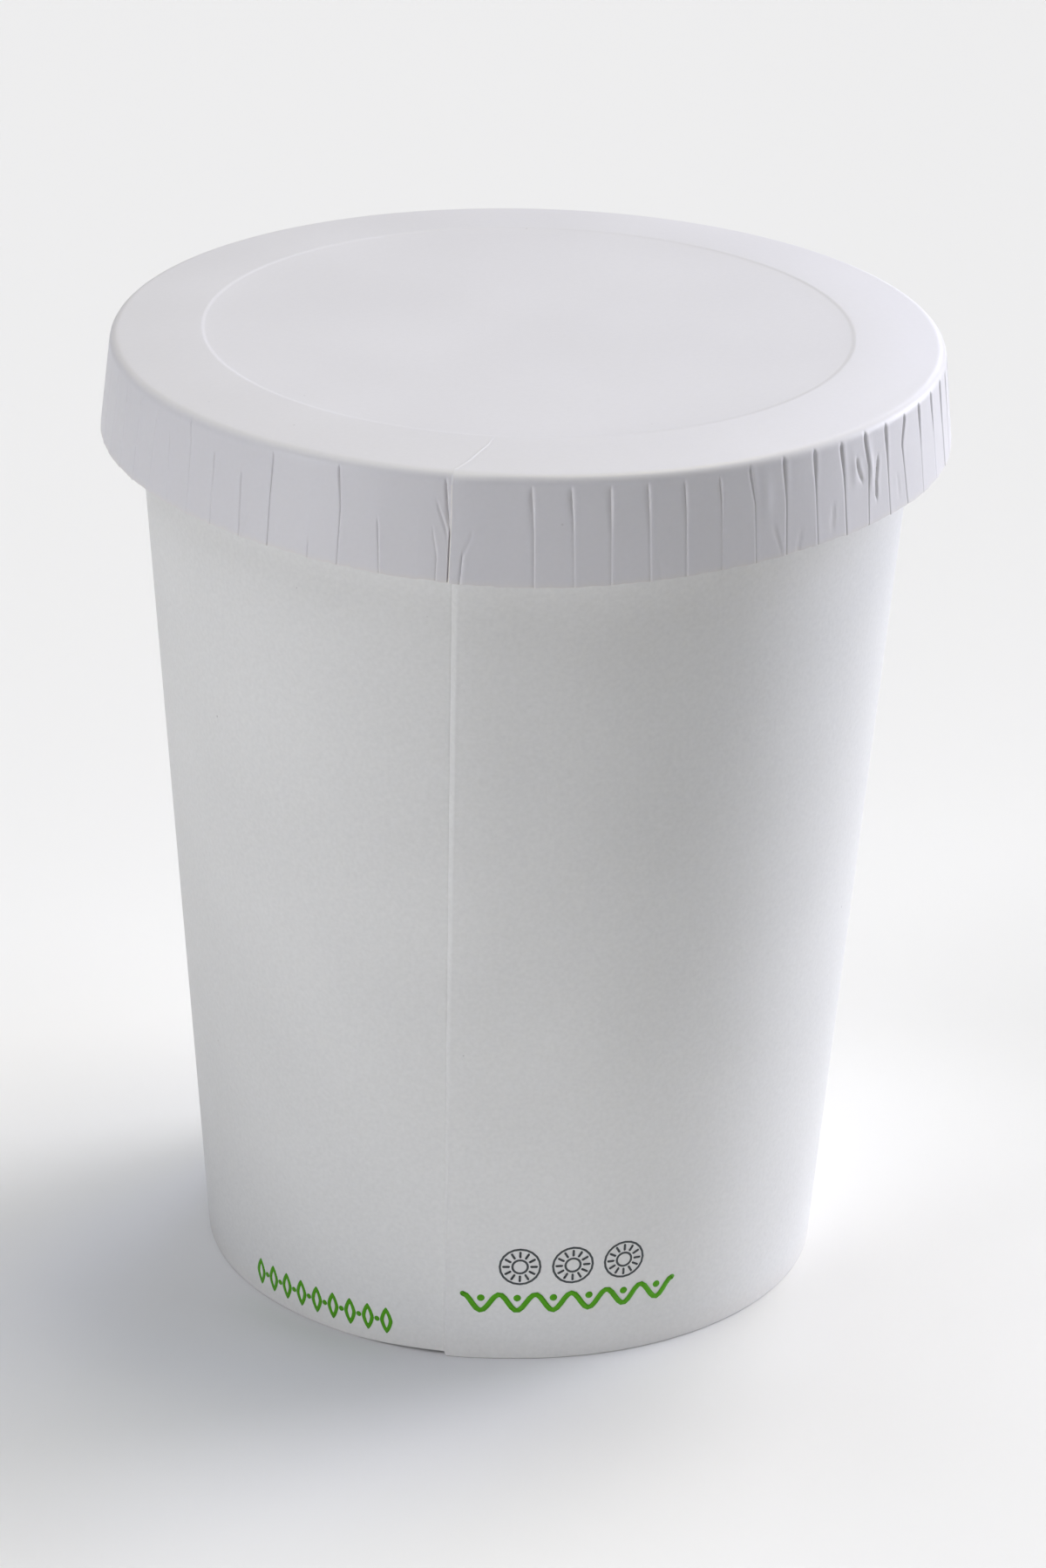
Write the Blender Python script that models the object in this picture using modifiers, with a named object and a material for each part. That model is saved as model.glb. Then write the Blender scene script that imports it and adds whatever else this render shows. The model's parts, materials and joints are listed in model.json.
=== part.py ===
"""A lidded paper food tub: a tapered board cup with a lap seam and a rolled rim, shut by a pleated board lid.

The tub stands on the plane z = 0 with its axis on Z. Its front, where both lap seams show, looks along -Y.
An angle round the axis is measured from the front and grows towards +X.
"""

import math

import bmesh
import bpy

MM = 0.001
NEAR_AXIS = 1 * MM
MERGE_REACH = 0.01 * MM
SMOOTH_BELOW = math.radians(35)

# Board
CUP_BOARD = 0.45 * MM
LID_BOARD = 0.45 * MM

# Cup wall: a cone that widens upwards
FOOT_RADIUS = 45.2 * MM
WALL_FLARE = 0.0765
WALL_COLUMNS = 96
WALL_ROWS = 5

# Rolled rim
RIM_TOP = 139.3 * MM
RIM_RADIUS = 58.1 * MM
CURL_RADIUS = 1.8 * MM
CURL_STEPS = 9
CURL_END = math.radians(-112)

# Foot: the wall turned in round the bottom disc
FOOT_WIDTH = 1.4 * MM
FOOT_ROUND = 0.3 * MM
RECESS_DEPTH = 9.0 * MM

# Lap seam of the wall, whose right panel lies over the left one
SEAM_ANGLE_AT_FOOT = math.radians(-10.9)
SEAM_ANGLE_AT_RIM = math.radians(-8.9)
SEAM_EASE = math.radians(13)
SEAM_STEP = math.radians(0.1)
SEAM_TOP = 134 * MM
LEFT_PANEL_LIFT = 0.4 * MM
LEFT_PANEL_EASE = math.radians(20)

# Lid top: a sunk round panel, then a border that falls a little towards the shoulder
PANEL_RADIUS = 45.65 * MM
PANEL_HEIGHT = 140.62 * MM
PANEL_STEP_WIDTH = 0.5 * MM
CROWN_HEIGHT = 141.0 * MM
CROWN_RADIUS = 40.0 * MM
CROWN_FALL = 0.88 * MM
BORDER_RADIUS = 57.56 * MM
BORDER_STEPS = 2

# Lid shoulder: a quarter of a superellipse
SHOULDER_WIDTH = 1.58 * MM
SHOULDER_DROP = 1.716 * MM
SHOULDER_POWER = 2.35
SHOULDER_STEPS = 4

# Lid skirt
SKIRT_HEIGHT = 12.2 * MM
SKIRT_FLARE = 0.109
SKIRT_STEPS = 2
# How far the lower edge rises or falls with the cosine of one, two and four times the angle
EDGE_WAVES = {1: -0.35 * MM, 2: -0.55 * MM, 4: -0.35 * MM}

# Pleats of the skirt: scored grooves, counted from the lap seam, shallow on the left of the front
PLEATS = 69
FIRST_PLEAT = math.radians(10.8)
PLEAT_PITCH = math.radians(5)
PLEAT_LEFT = math.radians(0.8)
PLEAT_RIGHT = math.radians(0.4)
PLEAT_DEPTH = 0.3 * MM
CALM_DEPTH = 0.1 * MM
CALM_FROM = math.radians(-105)
CALM_TO = math.radians(-10)

# Lap seam of the skirt, also with the right panel outside
LID_SEAM_ANGLE = math.radians(-9.35)
LID_SEAM_RISE = 0.4 * MM
LID_SEAM_EASE = math.radians(8)
LID_SEAM_STEP = math.radians(0.35)


def clear_scene():
    for scene_object in list(bpy.data.objects):
        bpy.data.objects.remove(scene_object, do_unlink=True)


def board_material(name, colour, roughness):
    material = bpy.data.materials.new(name)
    material.use_nodes = True
    shader = material.node_tree.nodes["Principled BSDF"]
    shader.inputs["Base Color"].default_value = (*colour, 1)
    shader.inputs["Roughness"].default_value = roughness
    shader.inputs["Metallic"].default_value = 0
    return material


def turned_mesh(name, profile, columns):
    """The profile's (radius, height) points turned round Z by a Screw, as a mesh of its own."""
    outline = bpy.data.meshes.new(name + "_outline")
    points = [(radius, 0, height) for radius, height in profile]
    outline.from_pydata(points, [(i, i + 1) for i in range(len(points) - 1)], [])
    guide = bpy.data.objects.new(name + "_outline", outline)
    bpy.context.scene.collection.objects.link(guide)
    screw = guide.modifiers.new("Turn", "SCREW")
    screw.axis = "Z"
    screw.steps = columns
    screw.render_steps = columns
    screw.use_merge_vertices = True
    screw.merge_threshold = MERGE_REACH
    graph = bpy.context.evaluated_depsgraph_get()
    mesh = bpy.data.meshes.new_from_object(guide.evaluated_get(graph))
    mesh.name = name
    bpy.data.objects.remove(guide, do_unlink=True)
    bpy.data.meshes.remove(outline)
    return mesh


def shape_columns(mesh, columns, place):
    """Moves each vertex off the axis to the point that place(column, radius, height) gives."""
    shaped = bmesh.new()
    shaped.from_mesh(mesh)
    step = 2 * math.pi / columns
    for vertex in shaped.verts:
        x, y, height = vertex.co
        radius = math.hypot(x, y)
        if radius > NEAR_AXIS:
            column = round(math.atan2(y, x) / step) % columns
            angle, radius, height = place(column, radius, height)
            vertex.co = (radius * math.sin(angle), -radius * math.cos(angle), height)
    bmesh.ops.recalc_face_normals(shaped, faces=shaped.faces)
    shaped.to_mesh(mesh)
    shaped.free()


def add_part(collection, name, mesh, material):
    mesh.materials.append(material)
    mesh.shade_smooth()
    mesh.set_sharp_from_angle(angle=SMOOTH_BELOW)
    part = bpy.data.objects.new(name, mesh)
    collection.objects.link(part)
    return part


def ease(share):
    """1 at a share of 0, falling smoothly to 0 at 1 and staying there."""
    share = min(max(share, 0), 1)
    return (1 - share) ** 2 * (1 + 2 * share)


def wall_radius(height):
    return FOOT_RADIUS + WALL_FLARE * height


def cup_profile():
    """Down the outside from the middle of the top, round the rim, down the wall and in under the foot."""
    curl_middle = (RIM_RADIUS - CURL_RADIUS, RIM_TOP - CURL_RADIUS)
    points = [(0, RIM_TOP)]
    for step in range(CURL_STEPS + 1):
        turn = math.pi / 2 + (CURL_END - math.pi / 2) * step / CURL_STEPS
        points.append(
            (
                curl_middle[0] + CURL_RADIUS * math.cos(turn),
                curl_middle[1] + CURL_RADIUS * math.sin(turn),
            )
        )
    wall_top = points[-1][1]
    for row in range(WALL_ROWS + 1):
        height = wall_top + (FOOT_ROUND - wall_top) * row / WALL_ROWS
        points.append((wall_radius(height), height))
    points.append((FOOT_RADIUS - FOOT_ROUND, 0))
    points.append((FOOT_RADIUS - FOOT_WIDTH, 0))
    points.append((wall_radius(RECESS_DEPTH) - FOOT_WIDTH, RECESS_DEPTH))
    points.append((0, RECESS_DEPTH))
    return points


def cup_point(column, radius, height):
    """The wall steps out at the seam and eases back, and its left panel ends a little above the floor."""
    turn = 2 * math.pi - SEAM_STEP
    past_seam = turn * column / (WALL_COLUMNS - 1)
    seam_share = height / RIM_TOP
    angle = SEAM_ANGLE_AT_FOOT + (SEAM_ANGLE_AT_RIM - SEAM_ANGLE_AT_FOOT) * seam_share
    on_outside = radius > wall_radius(height) - FOOT_WIDTH / 2
    if on_outside and height < SEAM_TOP:
        radius += CUP_BOARD * ease(past_seam / SEAM_EASE)
    if height <= FOOT_ROUND:
        height += LEFT_PANEL_LIFT * ease((turn - past_seam) / LEFT_PANEL_EASE)
    return angle + past_seam, radius, height


def make_cup(collection):
    mesh = turned_mesh("cup", cup_profile(), WALL_COLUMNS)
    shape_columns(mesh, WALL_COLUMNS, cup_point)
    return add_part(collection, "cup", mesh, board_material("cup_board", (0.83, 0.83, 0.82), 0.6))


def crown_height(radius):
    return CROWN_HEIGHT - CROWN_FALL * ((radius - CROWN_RADIUS) / (BORDER_RADIUS - CROWN_RADIUS)) ** 2


def shoulder_end():
    return BORDER_RADIUS + SHOULDER_WIDTH, crown_height(BORDER_RADIUS) - SHOULDER_DROP


def lid_profile():
    """The lid's outer face from the middle of its panel to the lower edge of its skirt."""
    points = [(0, PANEL_HEIGHT), (PANEL_RADIUS, PANEL_HEIGHT)]
    crown_start = PANEL_RADIUS + PANEL_STEP_WIDTH
    for step in range(BORDER_STEPS + 1):
        radius = crown_start + (BORDER_RADIUS - crown_start) * step / BORDER_STEPS
        points.append((radius, crown_height(radius)))
    border_height = crown_height(BORDER_RADIUS)
    for step in range(1, SHOULDER_STEPS + 1):
        turn = math.pi / 2 * step / SHOULDER_STEPS
        across = math.sin(turn) ** (2 / SHOULDER_POWER)
        down = 1 - math.cos(turn) ** (2 / SHOULDER_POWER)
        points.append((BORDER_RADIUS + SHOULDER_WIDTH * across, border_height - SHOULDER_DROP * down))
    top_radius, top_height = shoulder_end()
    for step in range(1, SKIRT_STEPS + 1):
        drop = SKIRT_HEIGHT * step / SKIRT_STEPS
        points.append((top_radius + SKIRT_FLARE * drop, top_height - drop))
    return points


def lid_columns():
    """(angle past the seam, depth of the fold there) of the seam's two sides and each pleat's lips and fold."""
    columns = [(0, 0), (2 * math.pi - LID_SEAM_STEP, 0)]
    for pleat in range(PLEATS):
        fold = FIRST_PLEAT + PLEAT_PITCH * pleat
        angle = (fold + LID_SEAM_ANGLE + math.pi) % (2 * math.pi) - math.pi
        depth = CALM_DEPTH if CALM_FROM < angle < CALM_TO else PLEAT_DEPTH
        columns += [(fold - PLEAT_LEFT, 0), (fold, depth), (fold + PLEAT_RIGHT, 0)]
    return sorted(columns)


def lid_point(past_seam, fold_depth, radius, height):
    """Pleats, lap seam and uneven lower edge, all growing from nothing at the top of the shoulder."""
    angle = LID_SEAM_ANGLE + past_seam
    if radius <= BORDER_RADIUS:
        return angle, radius, height
    on_skirt = min((radius - BORDER_RADIUS) / SHOULDER_WIDTH, 1) ** 2
    seam_rise = LID_SEAM_RISE * ease(past_seam / LID_SEAM_EASE)
    down_skirt = max(shoulder_end()[1] - height, 0) / SKIRT_HEIGHT
    edge_wave = sum(wave * math.cos(count * angle) for count, wave in EDGE_WAVES.items())
    rise = edge_wave * down_skirt
    radius += on_skirt * (seam_rise - fold_depth) - SKIRT_FLARE * rise
    return angle, radius, height + rise


def make_lid(collection):
    columns = lid_columns()
    mesh = turned_mesh("lid", lid_profile(), len(columns))
    shape_columns(
        mesh,
        len(columns),
        lambda column, radius, height: lid_point(*columns[column], radius, height),
    )
    lid = add_part(collection, "lid", mesh, board_material("lid_board", (0.80, 0.79, 0.82), 0.5))
    board = lid.modifiers.new("Board", "SOLIDIFY")
    board.thickness = LID_BOARD
    board.offset = -1
    board.use_even_offset = True
    return lid


def main():
    clear_scene()
    collection = bpy.data.collections.new("paper_food_tub")
    bpy.context.scene.collection.children.link(collection)
    make_cup(collection)
    make_lid(collection)


main()
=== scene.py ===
"""The looks of a lidded paper food tub: lid, cup wall, bottom disc, printed marks and studio stage.

Lengths are metres. The tub stands on the plane z = 0 with its axis on Z, and its front, where both lap seams
show, looks along -Y. An angle round the axis is measured from the front and grows towards +X.
"""

import json
import math
import random
from collections import namedtuple

import bmesh
import bpy
import numpy as np
from bpy.props import FloatProperty, FloatVectorProperty, PointerProperty
from mathutils import Matrix, Vector

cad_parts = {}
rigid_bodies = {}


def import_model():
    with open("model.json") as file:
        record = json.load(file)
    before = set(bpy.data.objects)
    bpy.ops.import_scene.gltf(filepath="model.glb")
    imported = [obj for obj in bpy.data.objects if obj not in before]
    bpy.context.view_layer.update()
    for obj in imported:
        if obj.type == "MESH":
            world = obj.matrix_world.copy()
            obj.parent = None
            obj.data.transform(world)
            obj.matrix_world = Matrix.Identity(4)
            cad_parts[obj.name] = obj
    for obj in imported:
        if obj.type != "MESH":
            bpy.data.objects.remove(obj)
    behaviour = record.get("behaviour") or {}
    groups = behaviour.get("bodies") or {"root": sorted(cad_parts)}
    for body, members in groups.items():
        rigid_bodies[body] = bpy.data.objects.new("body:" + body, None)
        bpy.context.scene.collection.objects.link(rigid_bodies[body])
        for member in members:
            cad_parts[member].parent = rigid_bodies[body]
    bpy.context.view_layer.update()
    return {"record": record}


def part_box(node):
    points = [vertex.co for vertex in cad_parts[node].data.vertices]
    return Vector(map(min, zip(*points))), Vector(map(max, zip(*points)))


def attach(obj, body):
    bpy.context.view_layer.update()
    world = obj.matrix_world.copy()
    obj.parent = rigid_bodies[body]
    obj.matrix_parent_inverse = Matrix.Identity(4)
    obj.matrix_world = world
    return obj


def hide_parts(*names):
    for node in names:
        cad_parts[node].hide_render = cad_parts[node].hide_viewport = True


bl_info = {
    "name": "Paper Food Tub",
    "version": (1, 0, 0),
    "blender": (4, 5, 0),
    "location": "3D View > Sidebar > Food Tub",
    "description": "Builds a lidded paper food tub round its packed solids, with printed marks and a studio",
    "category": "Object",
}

for leftover in list(bpy.data.objects):
    bpy.data.objects.remove(leftover, do_unlink=True)
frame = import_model()

MM = 0.001
FULL_TURN = 2 * math.pi
SHARP_ANGLE = math.radians(50)

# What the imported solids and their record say
RIM_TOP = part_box("cup")[1].z
LID_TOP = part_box("lid")[1].z
BOARD_COLOURS = {entry["slot"]: entry["base_color"] for entry in frame["record"]["materials"]}

# Cup wall: a cone that widens upwards to a rolled rim
FOOT_RADIUS = 45.2 * MM
WALL_FLARE = 0.0765
WALL_COLUMNS = 900
WALL_SQUEEZE = 0.6
WALL_ROWS = 30
INNER_WALL_ROWS = 10
WALL_SWELL = 0.04 * MM
RIM_RADIUS = 58.1 * MM
CURL_RADIUS = 1.8 * MM
CURL_STEPS = 20
CURL_END = math.radians(-112)
CURL_NECK = 134 * MM
# Shares of the way from the roll down to the neck at which the board bends
NECK_SHARES = (0.35, 0.7)

# Cup foot: the wall folded in and up round the rim of the bottom disc
FOOT_WIDTH = 1.4 * MM
FOOT_ROUND = 0.28 * MM
FOOT_ROUND_STEPS = 4
HEM_TOP = 7.2 * MM
HEM_ROWS = 6
HEM_RIBS = 120
HEM_RIB_DEPTH = 0.06 * MM
FOOT_WEAR = 0.6
FOOT_WEAR_REACH = 0.8 * MM
FOOT_ROUND_WEAR = 0.9
HEM_WEAR = 0.5

# Bottom disc, recessed into the foot
RECESS_DEPTH = 9.0 * MM
DISC_BEND = 1.1 * MM
DISC_BEND_STEPS = 6
DISC_SAG = 0.25 * MM
DISC_COLUMNS = 240
DISC_SHARES = (0.2, 0.4, 0.6, 0.8, 0.92)
GLUE_GAP = 0.03 * MM

# Lap seam of the wall, whose right panel lies over the left one
SEAM_ANGLE_AT_FOOT = math.radians(-10.9)
SEAM_ANGLE_AT_RIM = math.radians(-8.9)
SEAM_EASE = math.radians(13)
SEAM_SLOPE_AT_FOOT = math.radians(0.42)
SEAM_SLOPE_AT_RIM = math.radians(0.85)
SEAM_GAP_WIDTH = math.radians(0.1)
SEAM_GAP_DEPTH = 0.05 * MM
SEAM_BURR = 0.035 * MM
SEAM_BURR_WIDTH = 0.35 * MM
SEAM_DIP = 0.03 * MM
SEAM_DIP_AWAY = 1.5 * MM
SEAM_DIP_WIDTH = 0.5 * MM
SEAM_DIP_TOP = 60 * MM
LEFT_PANEL_LIFT = 0.4 * MM
LEFT_PANEL_EASE = math.radians(20)
LIFT_REACH = 3 * MM

# Lid top: a sunk round panel, then a border that falls a little towards the shoulder
PANEL_RADIUS = 45.65 * MM
PANEL_DROP = 0.075 * MM
PANEL_STEP_WIDTH = 0.5 * MM
STEP_SOFTNESS = 0.12 * MM
PANEL_SWELL = 0.05 * MM
PANEL_SHARES = (0.15, 0.35, 0.6, 0.82, 0.95)
PANEL_STEP_RINGS = 7
CROWN_RADIUS = 40 * MM
CROWN_FALL = 0.88 * MM
BORDER_RADIUS = 57.56 * MM
BORDER_STEPS = 4

# Lid shoulder, a quarter of a superellipse, and lid skirt
SHOULDER_WIDTH = 1.58 * MM
SHOULDER_DROP = 1.716 * MM
SHOULDER_POWER = 2.35
SHOULDER_STEPS = 9
SKIRT_HEIGHT = 12.2 * MM
SKIRT_FLARE = 0.109
SKIRT_STEPS = 26
SKIRT_RADIUS = 59.6 * MM
INNER_SKIRT_STEPS = 7
INNER_RELIEF_SHARE = 0.85
# How far the lower edge rises or falls with the cosine of one, two and four times the angle
EDGE_WAVES = {1: -0.35 * MM, 2: -0.55 * MM, 4: -0.35 * MM}

# Pleats of the skirt: 72 slots of 5 degrees, of which the last three hold the lap seam instead of a pleat
SLOTS = 72
PLEAT_SLOTS = 69
SEAM_SLOT = 70
FIRST_SLOT = math.radians(1.45)
SLOT_TURN = FULL_TURN / SLOTS
SLOT_COLUMNS = 24
# Slots beside the seam and round the finest and the deepest creases have more columns
BUSY_SLOTS = {64: 72, 65: 48, 69: 72, 70: 72, 9: 48, 10: 48}
SLOT_SQUEEZE = 0.6
COARSE_SHARE = 4
# Where single pleats run: slot, then degrees at the shoulder, at the kink and at the edge, then the kink's
# drop in mm
PLEAT_TRACKS = (
    (0, 0.9, 1.3, 1.4, 5.7),
    (1, 6.0, 6.3, 6.5, 4.6),
    (2, 11.1, 11.2, 11.2, 5.0),
    (3, 16.0, 16.2, 16.3, 4.0),
    (4, 21.0, 21.2, 21.2, 3.9),
    (5, 26.0, 26.2, 26.1, 3.3),
    (6, 30.5, 31.1, 31.0, 4.3),
    (7, 35.8, 36.0, 35.7, 5.0),
    (8, 41.0, 41.0, 41.0, 5.0),
    (9, 46.0, 46.3, 46.4, 3.7),
    (10, 51.0, 51.4, 51.0, 3.8),
    (11, 55.8, 55.9, 56.0, 4.5),
    (12, 60.9, 59.9, 60.7, 3.2),
    (13, 65.7, 65.8, 65.8, 4.0),
    (14, 70.8, 71.1, 71.3, 4.0),
    (61, -54.9, -54.5, -54.0, 5.0),
    (62, -50.1, -49.8, -49.6, 2.0),
    (63, -44.9, -44.9, -44.8, 4.0),
    (64, -39.9, -39.8, -39.5, 5.0),
    (65, -34.7, -34.8, -34.8, 5.0),
    (67, -24.7, -24.2, -24.3, 4.6),
    (68, -19.3, -19.0, -18.5, 5.8),
)
SEAM_TRACK = (-9.45, -9.35, -9.45, 4.0)
# The other pleats: random shift in degrees, and random drop of the kink in mm
TRACK_SHIFTS = (-0.3, 0.3)
KINK_DROPS = (3.4, 5.6)
# Short creases between the pleats: degrees and mm of drop at three points, then depth and half width in mm
CREASES = (
    ((-10.2, -0.9), (-9.9, 2.4), (-9.5, 5.4), 0.34, 0.45),
    ((-11.4, 2.0), (-10.2, 5.0), (-9.6, 6.8), 0.24, 0.3),
    ((-11.8, 5.2), (-11.05, 8.9), (-11.1, 12.9), 0.13, 0.24),
    ((-6.3, 5.4), (-7.7, 8.6), (-8.0, 12.9), 0.22, 0.35),
    ((33.7, 7.5), (34.5, 9.9), (35.1, 12.0), 0.12, 0.4),
    ((38.5, 9.0), (37.9, 10.8), (37.4, 12.9), 0.1, 0.45),
    ((44.3, 6.8), (43.9, 8.8), (43.7, 11.0), 0.14, 0.5),
    ((48.9, 1.8), (49.2, 3.8), (50.1, 6.0), 0.28, 0.6),
    ((53.7, 2.8), (53.0, 6.2), (52.9, 9.4), 0.26, 0.5),
    ((58.1, 6.6), (58.4, 8.6), (58.4, 10.8), 0.1, 0.5),
    ((17.4, 9.4), (17.7, 10.8), (17.8, 12.6), 0.06, 0.5),
    ((3.1, 11.6), (3.1, 12.3), (3.1, 13.0), 0.07, 0.4),
    ((-37.7, 8.0), (-38.5, 10.4), (-39.4, 12.6), 0.16, 0.26),
    ((-34.0, 8.5), (-33.8, 9.6), (-33.6, 10.6), 0.06, 0.3),
)
CREASE_RIGHT_SHARE = 0.6
# Soft outward swellings: degrees, mm of drop, height, half width and half length in mm
SWELLINGS = (
    (32.9, 3.6, 0.12, 0.9, 2.6),
    (51.9, 4.2, 0.22, 0.6, 2.8),
    (48.5, 3.6, 0.12, 0.6, 1.8),
)

# Kinds of pleat: the right side is gathered most, and the calm left side is only scored. Left and right are
# the widths of its flanks. Random are its depth, as a share of the setting or in metres at the back, the drop
# in mm at which it begins, and the share of its depth that it keeps towards the edge.
Pleat = namedtuple("Pleat", "setting depths left right starts scores")
FRONT_PLEAT = Pleat("pleat_depth", (0.9, 1.1), 1.0 * MM, 0.27 * MM, (-1.0, -0.2), (0.26, 0.38))
SIDE_PLEAT = Pleat("side_pleat_depth", (0.85, 1.1), 0.7 * MM, 0.27 * MM, (-1.4, -0.9), (0.18, 0.26))
BACK_PLEAT = Pleat(None, (0.2 * MM, 0.38 * MM), 1.0 * MM, 0.27 * MM, (-1.0, -0.2), (0.26, 0.38))
CALM_PLEAT = Pleat("calm_pleat_depth", (0.6, 1.3), 0.23 * MM, 0.15 * MM, (-1.0, -0.2), (0.45, 0.6))
BESIDE_SIDE_PLEAT = BACK_PLEAT._replace(starts=SIDE_PLEAT.starts)
KINDS = [FRONT_PLEAT] * 6 + [SIDE_PLEAT] * 9 + [BESIDE_SIDE_PLEAT] + [BACK_PLEAT] * 35 + [CALM_PLEAT] * 18
LEFT_SPREAD = (0.8, 1.15)
RIGHT_SPREAD = (0.85, 1.15)
# Single pleats of the calm side: share of the setting's depth, and drop in mm at which they begin
CALM_SHARES = {61: 0.9, 62: 1.3, 63: 1.3, 64: 1.15, 65: 1.05, 66: 0.5, 67: 1.35, 68: 0.9}
CALM_STARTS = {61: 1.8, 62: -1.4, 63: 1.8, 64: 3.2, 65: -0.6, 66: 9.5, 67: -0.9, 68: 5.0}
FOLD_RISE = 0.9 * MM
FOLD_FADE = 1.0 * MM
FOLD_REACH = 3.6 * MM
FOLD_NARROWEST = 0.35
LEFT_FLANK_POWER = 2.2
LIP_SHARE = 0.14
LIP_AWAY = 0.3 * MM
LIP_WIDTH = 0.32 * MM

# Between the pleats: flat facets that tilt, a slow swell, and a ragged lower edge
SKIRT_SEED = 11
FACET_DEPTH = 0.04 * MM
PANEL_TILT = 0.05 * MM
FACETS_AT_TOP = 0.25
SKIRT_SWELL = 0.05 * MM
SWELL_AT_TOP = 0.3
EDGE_STEP = 0.1 * MM
EDGE_RAG = 0.09 * MM
EDGE_RAG_POINTS = 480
EDGE_RAG_POWER = 6

# Cut lower edge: corners taken off and a low bulge, as shares of the board
EDGE_CORNER = 0.12
EDGE_BULGE = 0.08
EDGE_WEAR = 0.8
EDGE_WEAR_FROM = 0.93
EDGE_WEAR_GROWTH = 8
# Painted shade laid into the rub mask along the valleys of the lid's pleats and creases: its greatest share,
# and the groove depth at which it would be whole
CREASE_PAINTED_SHADE = 0.5
CREASE_SHADE_DEPTH = 0.6 * MM

# Slow seeded ripples: the seed, then how many waves go round the axis
SKIRT_RIPPLE = (5, (3, 7, 11, 17))
PANEL_RIPPLE = (9, (2, 3, 5))
WALL_RIPPLE = (21, (2, 3, 5))

# Lap seam of the skirt, also with the right panel outside
LID_SEAM_EASE = 8.3 * MM
LID_CUT_WIDTH = 0.185 * MM
LID_CUT_COLUMNS = 5
LID_GAP_WIDTH = 0.24 * MM
LID_GAP_DEPTH = 0.46 * MM
LID_GAP_FROM = 5.2 * MM
# A faint line where the skirt's lap shows through the border: radius in mm and degrees
LAP_LINE = ((48.3, -5.4), (50.2, -6.5), (53.4, -7.4), (56.2, -8.4), (57.6, -9.3))
LAP_LINE_HEIGHT = 0.036 * MM
LAP_LINE_WIDTH = 0.16 * MM
LAP_LINE_FADE = 4 * MM
# The hollow beside that line: its depth as a share of the line's height, and its distance in line widths
LAP_HOLLOW_SHARE = 0.6
LAP_HOLLOW_AWAY = 1.8

# Look of board and ink: sizes of the noises, specks as shares of their pitch, and the roughness added where
# the board is rubbed and where painted crease shade lies
CLOUD_SIZE = 18 * MM
GRAIN_SIZE = 0.6 * MM
FIBRE_SIZE = 0.2 * MM
FIBRE_STRETCH = (1, 1, 0.22)
CLOUD_SHARE = 0.35
SPECK_PITCH = 6 * MM
SPECK_SIZE = 0.028
SPECK_RARITY = 0.8
SPECK_COLOUR = (0.3, 0.29, 0.27, 1)
WEAR_AND_SHADE_GRAIN_SIZE = 0.9 * MM
WEAR_ROUGHENS = 0.2

# Printed marks on the lower wall
INK_STANDS = 0.03 * MM
INK_SUNK = 0.02 * MM
INK_STEP = 0.5 * MM
INK_SIDES = 20
CAP_SIDES = 7
LEFT_MARK = (math.radians(-53.5), math.radians(-21.1))
LEFT_MARK_HEIGHT = 4.1 * MM
LOZENGES = 9
LOZENGE_WIDTH = 2.0 * MM
LOZENGE_HEIGHT = 4.4 * MM
LOZENGE_POWER = 1.35
LOZENGE_TIP_STROKES = 1.6
DOT_RADIUS = 0.42 * MM
RIGHT_MARK = (math.radians(-7.9), math.radians(31.0))
WAVE_HEIGHT = 9.6 * MM
WAVE_SWING = 1.35 * MM
WAVE_COUNT = 6
WAVE_DOT_RADIUS = 1.3 * DOT_RADIUS
WAVE_DOT_HEIGHT = WAVE_HEIGHT + 0.55 * WAVE_SWING
RING_ANGLES = (math.radians(2.2), math.radians(11.6), math.radians(21.0))
RING_HEIGHT = 15.6 * MM
RING_RADII = (2.9 * MM, 1.1 * MM)
TICKS = 12
TICK_ENDS = (1.6 * MM, 2.4 * MM)

# Painted shade on the studio's floor: it darkens towards the front and the left between these two places,
# outside the picture, so that less light bounces from there onto the tub
FLOOR_PALE_FROM = -0.2
FLOOR_SHADE_FULL_FROM = -0.5
FLOOR_SHADE_SHARE = 0.45

# Camera, solved from the photo's edges for an image of 1200 x 1799
CAMERA_PLACE = (0, -0.7525, 0.39445)
CAMERA_YAW = math.radians(0.0514)
CAMERA_PITCH = math.radians(23.287)
CAMERA_ROLL = math.radians(1.30)
CAMERA_LENS = 128.63
CAMERA_SENSOR = 36

Finish = namedtuple("Finish", "name roughness mottle specks shine relief")
Ring = namedtuple("Ring", "points wear cut")
Fold = namedtuple("Fold", "drops angles depth left right start end score")
Lamp = namedtuple("Lamp", "name azimuth elevation strength colour")
Spot = namedtuple("Spot", "name azimuth distance height aim_height power cone softness colour")

# Faces of the board, its cut edge, and inks
LID_FACE = Finish("lid_coated_face", 0.42, 0.05, 0.2, 0.45, 0.006 * MM)
CUP_FACE = Finish("cup_outer_face", 0.62, 0.17, 0.4, 0.25, 0.014 * MM)
CUT_EDGE = Finish("cut_pulp", 0.85, 0.12, 0.5, 0.5, 0.03 * MM)
GREEN_INK = Finish("green_ink", 0.5, 0.35, 0.0, 0.25, 0.006 * MM)
SLATE_INK = GREEN_INK._replace(name="slate_ink")

# Far soft lamps of the studio: azimuth and elevation in degrees
LAMPS = (
    Lamp("key_right_low", 120, 8, 1.807, (0.886, 0.897, 1.0)),
    Lamp("key_right", 120, 22, 0.8, (0.813, 0.831, 1.0)),
    Lamp("back_low", 160, 22, 0.67, (0.755, 0.776, 1.0)),
    Lamp("side_right_high", 84, 56, 0.36, (0.794, 0.879, 1.0)),
    Lamp("back_right_high", 140, 56, 0.444, (1.0, 0.968, 0.698)),
    Lamp("fill_left_high", 300, 56, 0.5, (0.935, 0.946, 1.0)),
    Lamp("top_right", 120, 74, 0.76, (1.0, 0.92, 0.75)),
    Lamp("top_back", 215, 74, 0.58, (0.955, 0.998, 1.0)),
)
LAMP_SPREAD = math.radians(26)
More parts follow.
